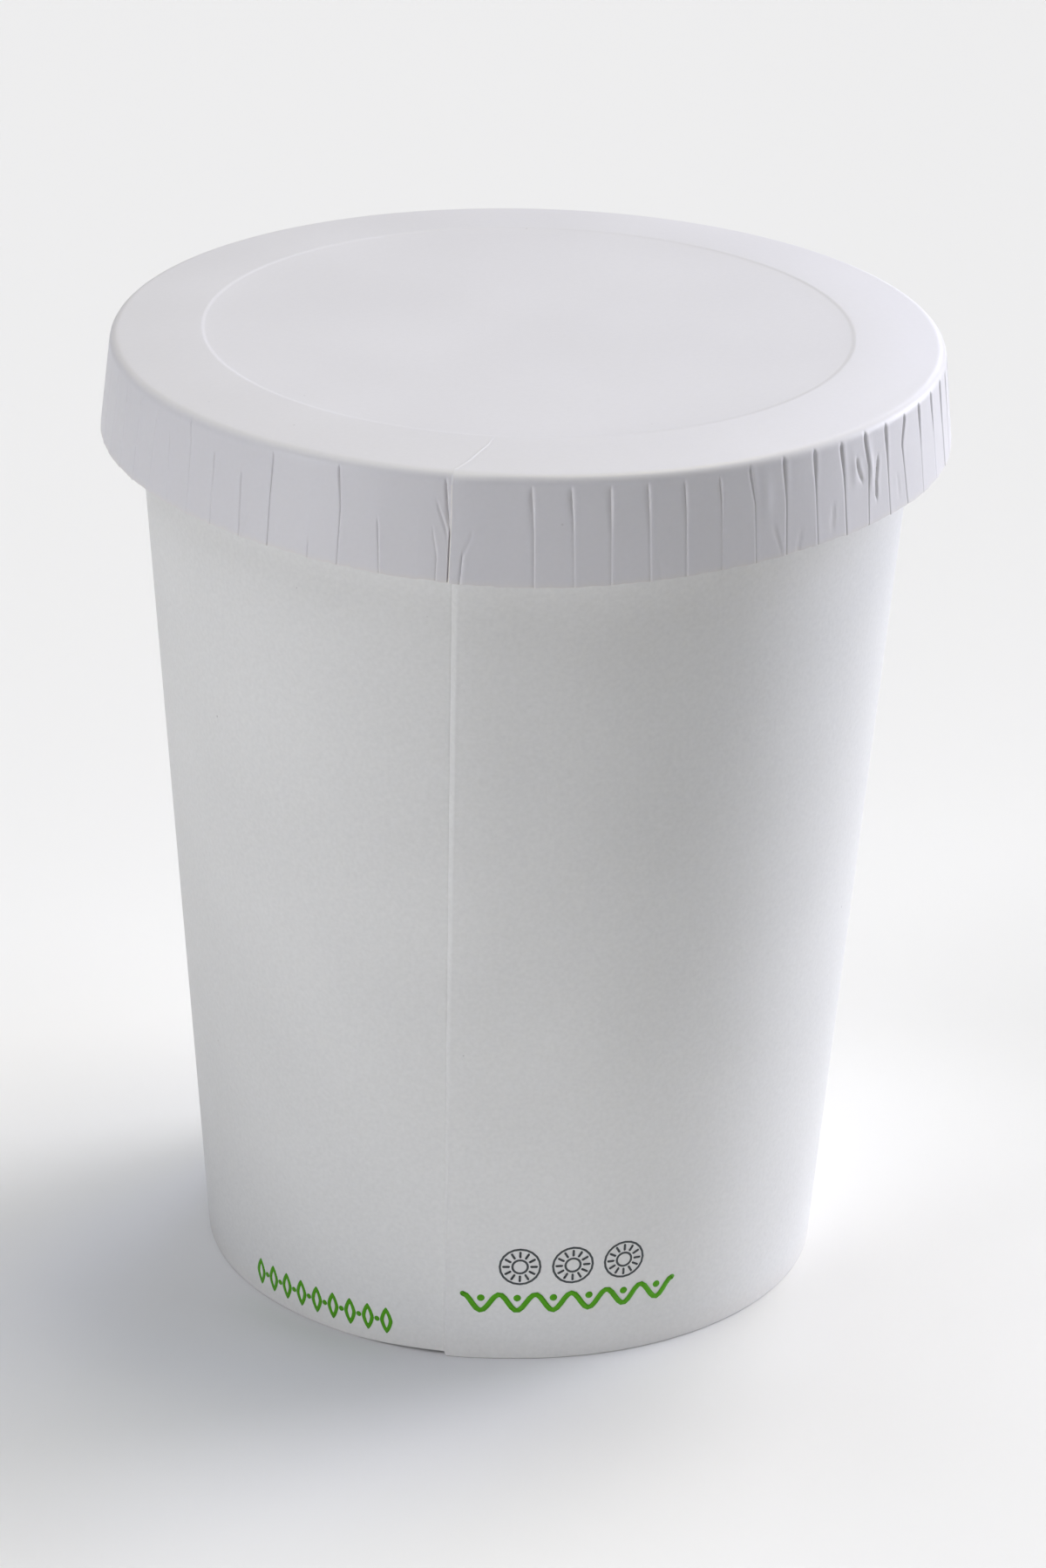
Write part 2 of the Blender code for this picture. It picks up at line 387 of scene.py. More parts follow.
# Soft spots, one that lifts the lid's skirt from the left and one that lifts the wall's foot from the front:
# azimuth and cone in degrees
SPOTS = (
    Spot("spot_skirt", 305, 0.7, 0.18, 0.13, 12.8, 19, 0.12, (0.95, 0.96, 1.0)),
    Spot("spot_foot", 355, 0.6, 0.1, -0.025, 2.6, 17, 0.05, (0.97, 0.98, 1.0)),
)
SKY_COLOUR = (0.72, 0.7, 1.0)
SKY_STRENGTH = 0.02


def length_setting(name, description, default):
    return FloatProperty(name=name, description=description, default=default, unit="LENGTH", precision=5)


def colour_setting(name, description, default):
    return FloatVectorProperty(
        name=name, description=description, default=default, subtype="COLOR", size=3, min=0, max=1
    )


class LidSettings(bpy.types.PropertyGroup):
    board: length_setting("Board", "Thickness of the lid's board", 0.45 * MM)
    pleat_depth: length_setting("Pleat Depth", "Depth of a pleat at the front", 0.3 * MM)
    side_pleat_depth: length_setting("Side Pleat Depth", "Depth of a pleat on the right side", 0.35 * MM)
    calm_pleat_depth: length_setting("Calm Pleat Depth", "Depth of a pleat on the left side", 0.19 * MM)
    seam_rise: length_setting("Seam Rise", "How far the skirt's right panel stands over the left", 0.4 * MM)
    colour: colour_setting("Colour", "Colour of the coated board", BOARD_COLOURS["lid_board"])


class CupSettings(bpy.types.PropertyGroup):
    board: length_setting("Board", "Thickness of the cup's board", 0.45 * MM)
    seam_rise: length_setting("Seam Rise", "How far the wall's right panel stands over the left", 0.45 * MM)
    colour: colour_setting("Colour", "Colour of the outer face", BOARD_COLOURS["cup_board"])
    pulp_colour: colour_setting("Pulp Colour", "Colour of the bare pulp at a cut edge", (0.86, 0.82, 0.77))


class PrintSettings(bpy.types.PropertyGroup):
    stroke: length_setting("Stroke", "Width of a green line", 0.62 * MM)
    wave_stroke: length_setting("Wave Stroke", "Width of the green wave", 0.8 * MM)
    ring_stroke: length_setting("Ring Stroke", "Width of a slate line", 0.32 * MM)
    green: colour_setting("Green", "Colour of the green ink", (0.09, 0.38, 0.004))
    slate: colour_setting("Slate", "Colour of the slate ink", (0.08, 0.09, 0.092))


class StageSettings(bpy.types.PropertyGroup):
    floor_size: length_setting("Floor Size", "Side of the square floor", 12)
    floor_colour: colour_setting("Floor Colour", "Colour of the studio floor", (0.905, 0.904, 0.912))
    lamp_strength: FloatProperty(
        name="Lamp Strength", description="Scales every studio lamp", default=1, min=0, subtype="FACTOR"
    )


def ease(share):
    """1 at a share of 0, falling smoothly to 0 at 1 and staying there."""
    share = np.clip(share, 0, 1)
    return (1 - share) ** 2 * (1 + 2 * share)


def polar(angle, radius, height):
    """The points at these angles from the front, radii and heights."""
    angle, radius, height = np.broadcast_arrays(angle, radius, height)
    return np.stack((radius * np.sin(angle), -radius * np.cos(angle), height), axis=-1)


def turn_between(angle, other):
    return (angle - other + math.pi) % FULL_TURN - math.pi


def squeezed(shares, squeeze):
    """Shares from 0 to 1 that lie closer together near both ends."""
    return shares - squeeze * np.sin(FULL_TURN * shares) / FULL_TURN


def swell(angles, seed, waves):
    """A slow seeded ripple round the axis, between -1 and 1."""
    draw = random.Random(seed)
    ripple = sum(np.cos(count * angles + draw.uniform(0, FULL_TURN)) for count in waves)
    return ripple / len(waves)


# Meshes from closed rings


def ring_faces(first, second):
    """Faces between two closed rings of vertex numbers. One may have several times the other's points."""
    many, few = (first, second) if len(first) >= len(second) else (second, first)
    share = len(many) // len(few)
    faces = []
    for place, vertex in enumerate(many):
        following = many[(place + 1) % len(many)]
        near = few[(place + share // 2) // share % len(few)]
        far = few[(place + 1 + share // 2) // share % len(few)]
        faces.append((vertex, following, near) if near == far else (vertex, following, far, near))
    return faces


def ring(points, wear=0, cut=False):
    """A ring with how rubbed it is at each point, plus painted shade in the lid's crease valleys, and whether
    each face that follows it shows cut board.
    """
    points = np.asarray(points, float).reshape(-1, 3)
    return Ring(points, np.broadcast_to(wear, len(points)), np.broadcast_to(cut, len(points)))


def pole(height):
    return ring([(0, 0, height)])


def rings_mesh(name, rings, materials, is_tube=False):
    """A closed mesh through rings of points. A tube's last ring joins its first."""
    mesh = bpy.data.meshes.new(name)
    numbers = []
    count = 0
    for each in rings:
        numbers.append(list(range(count, count + len(each.points))))
        count += len(each.points)
    faces = []
    is_cut = []
    for place, each in enumerate(rings if is_tube else rings[:-1]):
        following = (place + 1) % len(rings)
        band = ring_faces(numbers[place], numbers[following])
        wider = each if len(each.points) >= len(rings[following].points) else rings[following]
        faces += band
        is_cut.append(np.broadcast_to(each.cut if wider is each else each.cut[0], len(band)))
    mesh.from_pydata(np.concatenate([each.points for each in rings]), [], faces)
    for material in materials:
        mesh.materials.append(material)
    mesh.polygons.foreach_set("material_index", np.concatenate(is_cut).astype(np.int32))
    # The point attribute holds how rubbed the board is, plus painted shade in the lid's crease valleys
    wear = mesh.attributes.new("wear", "FLOAT", "POINT")
    wear.data.foreach_set("value", np.concatenate([each.wear for each in rings]).astype(np.float32))
    shaped = bmesh.new()
    shaped.from_mesh(mesh)
    bmesh.ops.recalc_face_normals(shaped, faces=shaped.faces)
    shaped.to_mesh(mesh)
    shaped.free()
    mesh.shade_smooth()
    mesh.set_sharp_from_angle(angle=SHARP_ANGLE)
    return mesh


def add_object(name, data):
    made = bpy.data.objects.new(name, data)
    bpy.context.scene.collection.objects.link(made)
    return made


def add_piece(name, mesh, node=None):
    """Places a piece of the tub on the root body. It may name the solid it stands for, which it then hides.
    """
    piece = add_object(name, mesh)
    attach(piece, "root")
    if node:
        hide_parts(node)
    return piece


# Shader node groups


def add_group(name, inputs, outputs):
    """A shader node group with sockets by name: an input with its default, an output with its kind."""
    group = bpy.data.node_groups.new(name, "ShaderNodeTree")
    for socket_name, default in inputs.items():
        is_colour = isinstance(default, tuple)
        socket = group.interface.new_socket(
            socket_name, in_out="INPUT", socket_type="NodeSocketColor" if is_colour else "NodeSocketFloat"
        )
        socket.default_value = default
    for socket_name, kind in outputs.items():
        group.interface.new_socket(socket_name, in_out="OUTPUT", socket_type=kind)
    return group, group.nodes.new("NodeGroupInput").outputs, group.nodes.new("NodeGroupOutput").inputs


def add_node(tree, kind, inputs=None, **settings):
    """A shader node with its settings, and each input linked to a socket or set to a value."""
    made = tree.nodes.new("ShaderNode" + kind)
    for name, value in settings.items():
        setattr(made, name, value)
    for key, value in (inputs or {}).items():
        if isinstance(value, bpy.types.NodeSocket):
            tree.links.new(value, made.inputs[key])
        else:
            made.inputs[key].default_value = value
    return made


def compute(tree, operation, first, second):
    return add_node(tree, "Math", {0: first, 1: second}, operation=operation).outputs[0]


def blend(tree, first, second, share):
    """This share of the first value and the rest of the second."""
    rest = compute(tree, "MULTIPLY", second, 1 - share)
    return compute(tree, "ADD", compute(tree, "MULTIPLY", first, share), rest)


def swing(tree, noise, amount):
    """Noise moved to lie about 0, times this amount."""
    return compute(tree, "MULTIPLY", compute(tree, "SUBTRACT", noise, 0.5), amount)


def mix_colours(tree, factor, first, second):
    return add_node(tree, "Mix", {0: factor, 6: first, 7: second}, data_type="RGBA").outputs[2]


def noise_at(tree, place, size, detail, roughness=0.5):
    """Noise whose blots are about this size in metres."""
    inputs = {"Vector": place, "Scale": 1 / size, "Detail": detail, "Roughness": roughness}
    return add_node(tree, "TexNoise", inputs).outputs[0]


def board_fibres_group():
    """Paper board: clouds, fibres and rare dark specks in its colour, fibrous relief and uneven gloss."""
    inputs = {
        "Board Colour": (0.8, 0.8, 0.8, 1),
        "Mottle": 0.03,
        "Specks": 0.5,
        "Gloss Spread": 0.1,
        "Roughness": 0.6,
    }
    outputs = {"Colour": "NodeSocketColor", "Roughness": "NodeSocketFloat", "Relief": "NodeSocketFloat"}
    group, given, result = add_group("board_fibres", inputs, outputs)
    place = add_node(group, "TexCoord").outputs["Object"]
    clouds = noise_at(group, place, CLOUD_SIZE, 0.0)
    grain = noise_at(group, place, GRAIN_SIZE, 1.0)
    stretched = add_node(group, "Mapping", {"Vector": place, "Scale": FIBRE_STRETCH}).outputs[0]
    fibres = noise_at(group, stretched, FIBRE_SIZE, 1.0, 0.6)
    mottle = swing(group, blend(group, clouds, grain, CLOUD_SHARE), given["Mottle"])
    shade = compute(group, "ADD", mottle, 1.0)
    toned = add_node(group, "VectorMath", {0: given["Board Colour"], 3: shade}, operation="SCALE").outputs[0]
    cells = add_node(group, "TexVoronoi", {"Vector": place, "Scale": 1 / SPECK_PITCH}).outputs
    near = compute(group, "LESS_THAN", cells["Distance"], SPECK_SIZE)
    chosen = add_node(group, "SeparateColor", {0: cells["Color"]}).outputs[0]
    rare = compute(group, "GREATER_THAN", chosen, SPECK_RARITY)
    speck = compute(group, "MULTIPLY", compute(group, "MULTIPLY", near, rare), given["Specks"])
    gloss = compute(group, "ADD", given["Roughness"], swing(group, clouds, given["Gloss Spread"]))
    group.links.new(mix_colours(group, speck, toned, SPECK_COLOUR), result["Colour"])
    group.links.new(gloss, result["Roughness"])
    group.links.new(blend(group, fibres, grain, 0.5), result["Relief"])
    return group


def wear_and_shade_group():
    """How rubbed the board is, plus painted shade in the lid's crease valleys, between 0 and 1: the point
    attribute that holds both, broken up by a fine grain.
    """
    group, given, result = add_group("wear_and_crease_shade", {"Amount": 0.5}, {"Mask": "NodeSocketFloat"})
    place = add_node(group, "TexCoord").outputs["Object"]
    painted = add_node(group, "Attribute", attribute_name="wear").outputs["Fac"]
    broken = compute(group, "ADD", noise_at(group, place, WEAR_AND_SHADE_GRAIN_SIZE, 1.0, 0.7), 0.4)
    mask = compute(group, "MULTIPLY", compute(group, "MULTIPLY", painted, broken), given["Amount"])
    group.links.new(add_node(group, "Clamp", {0: mask}).outputs[0], result["Mask"])
    return group


def shared_group(name, make):
    return bpy.data.node_groups.get(name) or make()


def new_material(name, colour, roughness):
    """A material, its node tree and its Principled shader with the plain values set."""
    material = bpy.data.materials.new(name)
    material.use_nodes = True
    shader = material.node_tree.nodes["Principled BSDF"]
    shader.inputs["Base Color"].default_value = (*colour, 1)
    shader.inputs["Roughness"].default_value = roughness
    return material, material.node_tree, shader


def finish_material(finish, colour, pulp=None):
    """Board or ink of this finish, made once. Given its pulp's colour, it shows that where the board is
    rubbed, and as painted shade in the lid's crease valleys.
    """
    made = bpy.data.materials.get(finish.name)
    if made:
        return made
    material, tree, shader = new_material(finish.name, colour, finish.roughness)
    inputs = {
        "Board Colour": (*colour, 1),
        "Mottle": finish.mottle,
        "Specks": finish.specks,
        "Roughness": finish.roughness,
    }
    fibres = shared_group("board_fibres", board_fibres_group)
    board = add_node(tree, "Group", inputs, node_tree=fibres).outputs
    tone = board["Colour"]
    roughness = board["Roughness"]
    if pulp is not None:
        wear_and_shade_mask = add_node(tree, "Group", node_tree=shared_group("wear_and_crease_shade", wear_and_shade_group)).outputs["Mask"]
        # Pulp colour where the board is rubbed, and as painted shade in the lid's crease valleys
        tone = mix_colours(tree, wear_and_shade_mask, tone, (*pulp, 1))
        roughness = compute(tree, "ADD", roughness, compute(tree, "MULTIPLY", wear_and_shade_mask, WEAR_ROUGHENS))
    bump = add_node(tree, "Bump", {"Height": board["Relief"], "Distance": finish.relief, "Strength": 1.0})
    tree.links.new(tone, shader.inputs["Base Color"])
    tree.links.new(roughness, shader.inputs["Roughness"])
    tree.links.new(bump.outputs[0], shader.inputs["Normal"])
    shader.inputs["Specular IOR Level"].default_value = finish.shine
    return material


def cup_face_material():
    settings = bpy.context.scene.food_tub_cup
    return finish_material(CUP_FACE, settings.colour, settings.pulp_colour)


def cut_edge_material():
    return finish_material(CUT_EDGE, bpy.context.scene.food_tub_cup.pulp_colour)


# Lid


def crown_height(radius):
    """Height of the lid's border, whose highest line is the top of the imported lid."""
    def fall(at):
        return CROWN_FALL * ((at - CROWN_RADIUS) / (BORDER_RADIUS - CROWN_RADIUS)) ** 2

    return LID_TOP + fall(PANEL_RADIUS + PANEL_STEP_WIDTH) - fall(radius)


def skirt_base(drop):
    """Radius and height of the plain skirt this far below its top."""
    return (
        BORDER_RADIUS + SHOULDER_WIDTH + SKIRT_FLARE * drop,
        crown_height(BORDER_RADIUS) - SHOULDER_DROP - drop,
    )


def slot_tracks(draw):
    """For each slot the angles at the shoulder, kink and edge, and the drop of the kink."""
    tracks = []
    for slot in range(SLOTS):
        middle = FIRST_SLOT + SLOT_TURN * slot
        if slot < PLEAT_SLOTS:
            shifts = [math.radians(draw.uniform(*TRACK_SHIFTS)) for _ in range(3)]
        else:
            shifts = [0, 0, 0]
        kink = draw.uniform(*KINK_DROPS) * MM
        tracks.append([middle + shift for shift in shifts] + [kink])
    seen = PLEAT_TRACKS + ((SEAM_SLOT, *SEAM_TRACK),)
    for slot, *angles, kink in seen:
        middle = FIRST_SLOT + SLOT_TURN * slot
        turns = [middle + turn_between(math.radians(angle), middle) for angle in angles]
        tracks[slot] = turns + [kink * MM]
    return tracks


def track_angle(track, drop):
    """The angle of a track at this drop."""
    shoulder, kink, edge, kink_drop = track
    return np.interp(drop, (0, kink_drop, SKIRT_HEIGHT), (shoulder, kink, edge))


def make_folds(tracks, draw):
    """Every pleat from shoulder to edge, then the short creases between them."""
    settings = bpy.context.scene.food_tub_lid
    folds = []
    for slot, kind in enumerate(KINDS):
        shoulder, kink, edge, kink_drop = tracks[slot]
        depth = draw.uniform(*kind.depths)
        if kind.setting:
            depth = CALM_SHARES.get(slot, depth) * getattr(settings, kind.setting)
        folds.append(
            Fold(
                drops=(0, kink_drop, SKIRT_HEIGHT),
                angles=(shoulder, kink, edge),
                depth=depth,
                left=kind.left * draw.uniform(*LEFT_SPREAD),
                right=kind.right * draw.uniform(*RIGHT_SPREAD),
                start=(CALM_STARTS[slot] if slot in CALM_STARTS else draw.uniform(*kind.starts)) * MM,
                end=SKIRT_HEIGHT + 2 * FOLD_FADE,
                score=draw.uniform(*kind.scores),
            )
        )
    for *points, depth, half_width in CREASES:
        folds.append(
            Fold(
                drops=tuple(drop * MM for _, drop in points),
                angles=tuple(math.radians(angle) for angle, _ in points),
                depth=depth * MM,
                left=half_width * MM,
                right=half_width * MM * CREASE_RIGHT_SHARE,
                start=points[0][1] * MM,
                end=points[-1][1] * MM,
                score=1,
            )
        )
    return folds


def fold_relief(fold, angles, drops):
    """How far out a fold pushes the skirt: a V groove, gentler on its left, with a low lip on its right."""
    across = turn_between(angles, np.interp(drops, fold.drops, fold.angles)) * SKIRT_RADIUS
    below = drops - fold.start
    strength = (1 - ease(below / FOLD_RISE)) * ease((drops - fold.end + FOLD_FADE) / FOLD_FADE)
    fade = fold.score + (1 - fold.score) * np.exp(-((np.maximum(below - FOLD_RISE, 0) / FOLD_REACH) ** 2))
    narrowing = FOLD_NARROWEST + (1 - FOLD_NARROWEST) * fade
    left = fold.left * narrowing
    right = fold.right * narrowing
    left_flank = np.clip(1 + across / left, 0, 1) ** LEFT_FLANK_POWER
    right_flank = np.clip(1 - across / right, 0, 1)
    valley = np.where(across < 0, left_flank, right_flank)
    lip = LIP_SHARE * np.exp(-(((across - right - LIP_AWAY) / LIP_WIDTH) ** 2))
    return fold.depth * strength * fade * (lip - valley)


def seam_relief(angles, drops, track):
    """The skirt's lap: cut edge, raised right panel that eases back, and the gap under it low down."""
    rise = bpy.context.scene.food_tub_lid.seam_rise
    across = turn_between(angles, track_angle(track, drops)) * SKIRT_RADIUS
    step = np.clip(across / LID_CUT_WIDTH, 0, 1) * ease((across - LID_CUT_WIDTH) / LID_SEAM_EASE)
    opening = 1 - ease((drops - LID_GAP_FROM) / FOLD_RISE)
    gap = np.clip(1 - np.abs(2 * across / LID_GAP_WIDTH + 1), 0, 1) * opening
    return rise * step - LID_GAP_DEPTH * gap


def swelling_relief(angles, drops):
    relief = 0
    for angle, drop, height, half_width, half_length in SWELLINGS:
        across = turn_between(angles, math.radians(angle)) * SKIRT_RADIUS / (half_width * MM)
        along = (drops - drop * MM) / (half_length * MM)
        relief = relief + height * MM * np.exp(-(across**2) - along**2)
    return relief


class Skirt:
    """The columns of the lid's skirt, and the relief of its pleats, creases, seam and edge."""

    def __init__(self):
        draw = random.Random(SKIRT_SEED)
        self.tracks = slot_tracks(draw)
        self.folds = make_folds(self.tracks, draw)
        self.tilts = np.array([draw.uniform(-1, 1) for _ in range(SLOTS)]) * PANEL_TILT
        self.tilts[PLEAT_SLOTS:] = 0
        self.edge_steps = np.array([draw.uniform(-1, 1) for _ in range(SLOTS)]) * EDGE_STEP
        self.rag = np.array([draw.uniform(-1, 1) for _ in range(EDGE_RAG_POINTS)]) * EDGE_RAG
        counts = [BUSY_SLOTS.get(slot, SLOT_COLUMNS) for slot in range(SLOTS)]
        self.slots = np.repeat(np.arange(SLOTS), counts)
        self.shares = np.concatenate([squeezed(np.arange(count) / count, SLOT_SQUEEZE) for count in counts])
        self.columns = FIRST_SLOT + SLOT_TURN * (self.slots + self.shares)

    def angles(self, drop, seam=None):
        """The columns' angles at this drop, drawn along so that a pleat or the seam keeps its column."""
        knots = np.array([track_angle(track, drop) for track in self.tracks])
        if seam is not None:
            knots[SEAM_SLOT] = seam + FULL_TURN
        knots = np.append(knots, knots[0] + FULL_TURN)
        places = FIRST_SLOT + SLOT_TURN * np.arange(SLOTS + 1)
        return np.interp(self.columns, places, knots)

    def relief(self, angles, drop, on_skirt):
        """How far out each column stands from the plain skirt."""
        drops = np.full_like(angles, drop)
        relief = sum(fold_relief(fold, angles, drops) for fold in self.folds)
        relief = relief + swelling_relief(angles, drops)
        within = 2 * self.shares - 1
        is_pleated = self.slots < PLEAT_SLOTS
        down = np.clip(drop / SKIRT_HEIGHT, 0, 1)
        facets = np.where(is_pleated, -FACET_DEPTH * (1 - within**2), 0) + self.tilts[self.slots] * within / 2
        growth = SWELL_AT_TOP + (1 - SWELL_AT_TOP) * down
        ripple = SKIRT_SWELL * (swell(angles, *SKIRT_RIPPLE) - 1) * growth
        lap = seam_relief(angles, drops, self.tracks[SEAM_SLOT])
        return on_skirt * (relief + facets * min(1, FACETS_AT_TOP + down) + ripple + lap)

    def edge_rise(self, angles, drop):
        """How far the lower edge lifts each column at this drop."""
        down = max(drop, 0) / SKIRT_HEIGHT
        wave = sum(height * np.cos(count * angles) for count, height in EDGE_WAVES.items())
        places = (angles - FIRST_SLOT) / FULL_TURN * EDGE_RAG_POINTS
        rag = np.interp(places, np.arange(EDGE_RAG_POINTS), self.rag, period=EDGE_RAG_POINTS)
        steps = self.edge_steps[self.slots] * (1 - self.shares)
        return wave * down + (rag + steps) * down**EDGE_RAG_POWER


def skirt_ring(skirt, drop, inset=0.0, lower=0.0, relief_share=1.0, wear=0.0, cut=False):
    """A ring of the skirt at this drop, set in by the board where it is an inner one."""
    angles = skirt.angles(max(drop, 0))
    radius, height = skirt_base(drop)
    relief = skirt.relief(angles, drop, 1)
    rise = skirt.edge_rise(angles, drop)
    # Painted shade: the valleys of pleats and creases take a share of the mask that grows with their depth
    wear_and_shade_mask = np.clip(wear + np.clip(-relief / CREASE_SHADE_DEPTH, 0, CREASE_PAINTED_SHADE), 0, 1)
    points = polar(angles, radius - inset + relief * relief_share - SKIRT_FLARE * rise, height + rise - lower)
    return ring(points, wear_and_shade_mask, cut)


def seam_cut_faces(skirt):
    """Which of the skirt's faces are the lap seam's cut edge."""
    places = np.arange(len(skirt.columns)) - np.argmax(skirt.slots == SEAM_SLOT)
    return (places >= 0) & (places < LID_CUT_COLUMNS)


def panel_rings(angles, lowered):
    """The sunk panel and the soft step round it, lowered by the board for the underside."""
    crown = crown_height(PANEL_RADIUS + PANEL_STEP_WIDTH)
    panel = crown - PANEL_DROP
    rings = [pole(panel - lowered)]
    for share in PANEL_SHARES:
        sink = PANEL_SWELL * swell(angles, *PANEL_RIPPLE) * math.sin(math.pi * share)
        rings.append(ring(polar(angles, PANEL_RADIUS * share, panel + sink - lowered)))
    inner = PANEL_RADIUS - STEP_SOFTNESS
    outer = PANEL_RADIUS + PANEL_STEP_WIDTH + STEP_SOFTNESS
    for share in np.linspace(0, 1, PANEL_STEP_RINGS):
        radius = inner + (outer - inner) * share
        height = panel + (crown_height(outer) - panel) * (1 - ease(share))
        rings.append(ring(polar(angles, radius, height - lowered)))
    return rings


def border_ring(skirt, radius):
    """A ring of the border, with the faint line of the lap under it."""
    line_radii, line_angles = zip(*LAP_LINE)
    line_angle = np.interp(radius / MM, line_radii, np.radians(line_angles))
    angles = skirt.angles(0, line_angle)
    across = turn_between(angles, line_angle) * radius / LAP_LINE_WIDTH
    strength = 1 - ease((radius - line_radii[0] * MM) / LAP_LINE_FADE + 0.5)
    hollow = LAP_HOLLOW_SHARE * np.exp(-((across - LAP_HOLLOW_AWAY) ** 2))
    line = LAP_LINE_HEIGHT * strength * (np.exp(-(across**2)) - hollow)
    return ring(polar(angles, radius, crown_height(radius) + line))


def shoulder_rings(skirt, angles_of, inset, fine):
    """The shoulder's quarter superellipse, where the skirt's relief grows from nothing."""
    rings = []
    border_height = crown_height(BORDER_RADIUS)
    for step in range(1, SHOULDER_STEPS):
        turn = math.pi / 2 * step / SHOULDER_STEPS
        across = math.sin(turn) ** (2 / SHOULDER_POWER)
        down = 1 - math.cos(turn) ** (2 / SHOULDER_POWER)
        drop = -SHOULDER_DROP * (1 - down)
        angles = angles_of(drop)
        relief = skirt.relief(angles, drop, across**2) if fine else 0
        radius = BORDER_RADIUS + (SHOULDER_WIDTH - inset) * across + relief
        height = border_height - inset - (SHOULDER_DROP - inset) * down
        rings.append(ring(polar(angles, radius, height)))
    return rings


def lid_rings():
    """From the middle of the lid's top, out and down to the skirt's edge, and back up inside."""
    board = bpy.context.scene.food_tub_lid.board
    skirt = Skirt()
    coarse = skirt.angles(0)[::COARSE_SHARE]
    seam_cut = seam_cut_faces(skirt)
    border_start = PANEL_RADIUS + PANEL_STEP_WIDTH + 3 * STEP_SOFTNESS
    border_radii = np.linspace(border_start, BORDER_RADIUS, BORDER_STEPS + 1)
    rings = panel_rings(coarse, 0)
    rings += [border_ring(skirt, radius) for radius in border_radii]
    rings += shoulder_rings(skirt, skirt.angles, 0, True)
    for drop in np.linspace(0, SKIRT_HEIGHT, SKIRT_STEPS + 1)[:-1]:
        wear = max(0, drop / SKIRT_HEIGHT - EDGE_WEAR_FROM) * EDGE_WEAR_GROWTH
        rings.append(skirt_ring(skirt, drop, wear=wear, cut=seam_cut))
    for inset, lower in ((0, 0), (EDGE_CORNER, EDGE_BULGE), (1 - EDGE_CORNER, EDGE_BULGE)):
        rings.append(skirt_ring(skirt, SKIRT_HEIGHT, inset * board, lower * board, wear=EDGE_WEAR, cut=True))
    for drop in np.linspace(SKIRT_HEIGHT, 0, INNER_SKIRT_STEPS + 1):
        rings.append(skirt_ring(skirt, drop, inset=board, relief_share=INNER_RELIEF_SHARE))
    rings += shoulder_rings(skirt, lambda drop: coarse, board, False)[::-1]
    rings += [ring(polar(coarse, radius, crown_height(radius) - board)) for radius in border_radii[::-1]]
    return rings + panel_rings(coarse, board)[::-1]


def make_lid():
    settings = bpy.context.scene.food_tub_lid
    face = finish_material(LID_FACE, settings.colour, bpy.context.scene.food_tub_cup.pulp_colour)
    mesh = rings_mesh("lid_shell", lid_rings(), [face, cut_edge_material()])
    add_piece("lid_shell", mesh, "lid")


# Cup


def wall_radius(height):
    return FOOT_RADIUS + WALL_FLARE * height


def seam_angle(height):
    return SEAM_ANGLE_AT_FOOT + (SEAM_ANGLE_AT_RIM - SEAM_ANGLE_AT_FOOT) * height / RIM_TOP


def seam_slope(height):
    """How far round the wall the right panel's edge slopes down to the left panel."""
    return SEAM_SLOPE_AT_FOOT + (SEAM_SLOPE_AT_RIM - SEAM_SLOPE_AT_FOOT) * height / RIM_TOP


def wall_relief(past_seam, height):
    """How far the outer face stands out: the lap's rise and burr, the gap beside it and a slow swell."""
    rise = bpy.context.scene.food_tub_cup.seam_rise
    from_edge = past_seam * wall_radius(height)
    lap = rise * ease(past_seam / SEAM_EASE)
    burr = SEAM_BURR * np.exp(-((from_edge / SEAM_BURR_WIDTH) ** 2))
    off_dip = (from_edge - SEAM_DIP_AWAY) / SEAM_DIP_WIDTH
    dip = SEAM_DIP * np.exp(-(off_dip**2)) * ease(height / SEAM_DIP_TOP)
    left_lip = FULL_TURN - seam_slope(height) - 2 * SEAM_GAP_WIDTH
    in_gap = np.clip(1 - np.abs((past_seam - left_lip) / SEAM_GAP_WIDTH - 1), 0, 1)
    slow = WALL_SWELL * (swell(past_seam, *WALL_RIPPLE) - 1)
    return lap + burr - dip - SEAM_GAP_DEPTH * in_gap + slow


def wall_columns(height):
    """Angles past the seam, closest near it. The last three are the left panel's lip, gap and end."""
    last = FULL_TURN - seam_slope(height)
    lip = last - 2 * SEAM_GAP_WIDTH
    even = np.arange(WALL_COLUMNS - 2) / (WALL_COLUMNS - 3)
    return np.append(squeezed(even, WALL_SQUEEZE) * lip, [last - SEAM_GAP_WIDTH, last])


def foot_lift(past_seam, height):
    """The left panel ends a little above the floor at the seam."""
    return LEFT_PANEL_LIFT * ease((FULL_TURN - past_seam) / LEFT_PANEL_EASE) * ease(height / LIFT_REACH)


def wall_ring(height, inset=0.0, outside=True, wear=0.0, cut=False, ribs=0.0):
    past_seam = wall_columns(height)
    radius = wall_radius(height) - inset + ribs * np.cos(HEM_RIBS * past_seam)
    if outside:
        radius = radius + wall_relief(past_seam, height)
    points = polar(seam_angle(height) + past_seam, radius, height + foot_lift(past_seam, height))
    return ring(points, wear, cut)


def curl_middle_line(board):
    """The middle of the board from the roll's free end over the rim and down to the wall's neck."""
    middle = (RIM_RADIUS - CURL_RADIUS, RIM_TOP - CURL_RADIUS)
    reach = CURL_RADIUS - board / 2
    points = []
    for turn in np.linspace(CURL_END, math.pi, CURL_STEPS + 1):
        points.append((middle[0] + reach * math.cos(turn), middle[1] + reach * math.sin(turn)))
    neck = wall_radius(CURL_NECK) - board / 2
    radius, height = points[-1]
    for share in NECK_SHARES:
        points.append((radius + (neck - radius) * (1 - ease(share)), height + (CURL_NECK - height) * share))
    return points


def beside(points, distance):
    """The polyline this far to the left of the given one."""
    shifted = []
    for place, (radius, height) in enumerate(points):
        before = Vector(points[max(place - 1, 0)])
        after = Vector(points[min(place + 1, len(points) - 1)])
        along = (after - before).normalized()
        shifted.append((radius - along.y * distance, height + along.x * distance))
    return shifted


